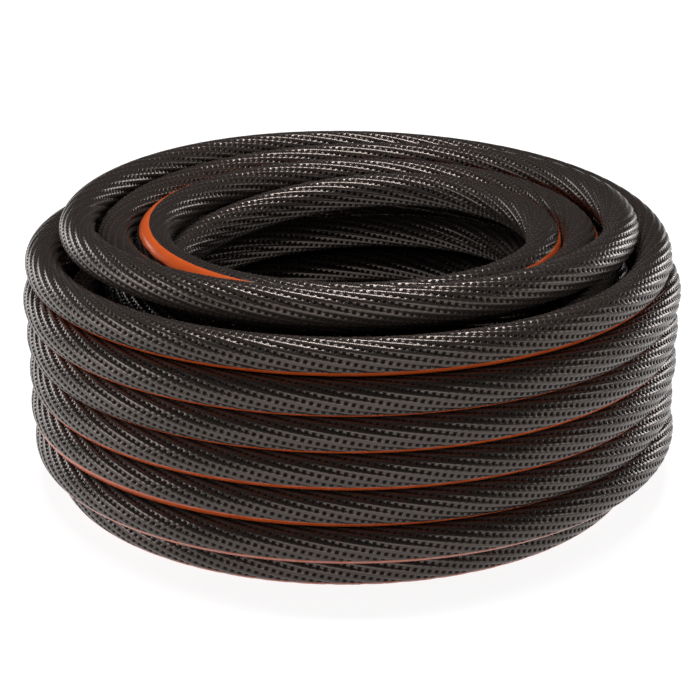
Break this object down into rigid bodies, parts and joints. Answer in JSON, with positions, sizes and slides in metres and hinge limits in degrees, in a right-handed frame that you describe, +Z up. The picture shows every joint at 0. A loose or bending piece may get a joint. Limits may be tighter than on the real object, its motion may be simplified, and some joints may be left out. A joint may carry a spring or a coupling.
{
  "type": "coiled garden hose",
  "caption": "Bare coil of flexible garden hose with a twisting colour stripe along it; both free ends are plain cut and show the liner, knitted yarn and cover.",
  "frame": {"origin": "on the floor, at the middle of the bounding box seen from above, which is within a millimetre of the coil's axis", "axes": "+Z up along the coil's axis; the outer free end of the hose points along +X at the back (+Y)"},
  "size_m": [0.3458, 0.3466, 0.1465],
  "materials": {
    "hose_cover": "satin soft PVC, warm grey, with darker pits",
    "hose_liner": "smooth dark soft PVC",
    "hose_yarn": "knitted polyester yarn",
    "hose_stripe": "glossy orange soft PVC"
  },
  "bodies": {
    "root": {"hose_coil": "hose_cover", "outer_end_liner": "hose_liner", "outer_end_yarn": "hose_yarn", "outer_end_cover": "hose_cover", "outer_end_stripe": "hose_stripe", "inner_end_liner": "hose_liner", "inner_end_yarn": "hose_yarn", "inner_end_cover": "hose_cover", "inner_end_stripe": "hose_stripe"}
  },
  "joints": []
}
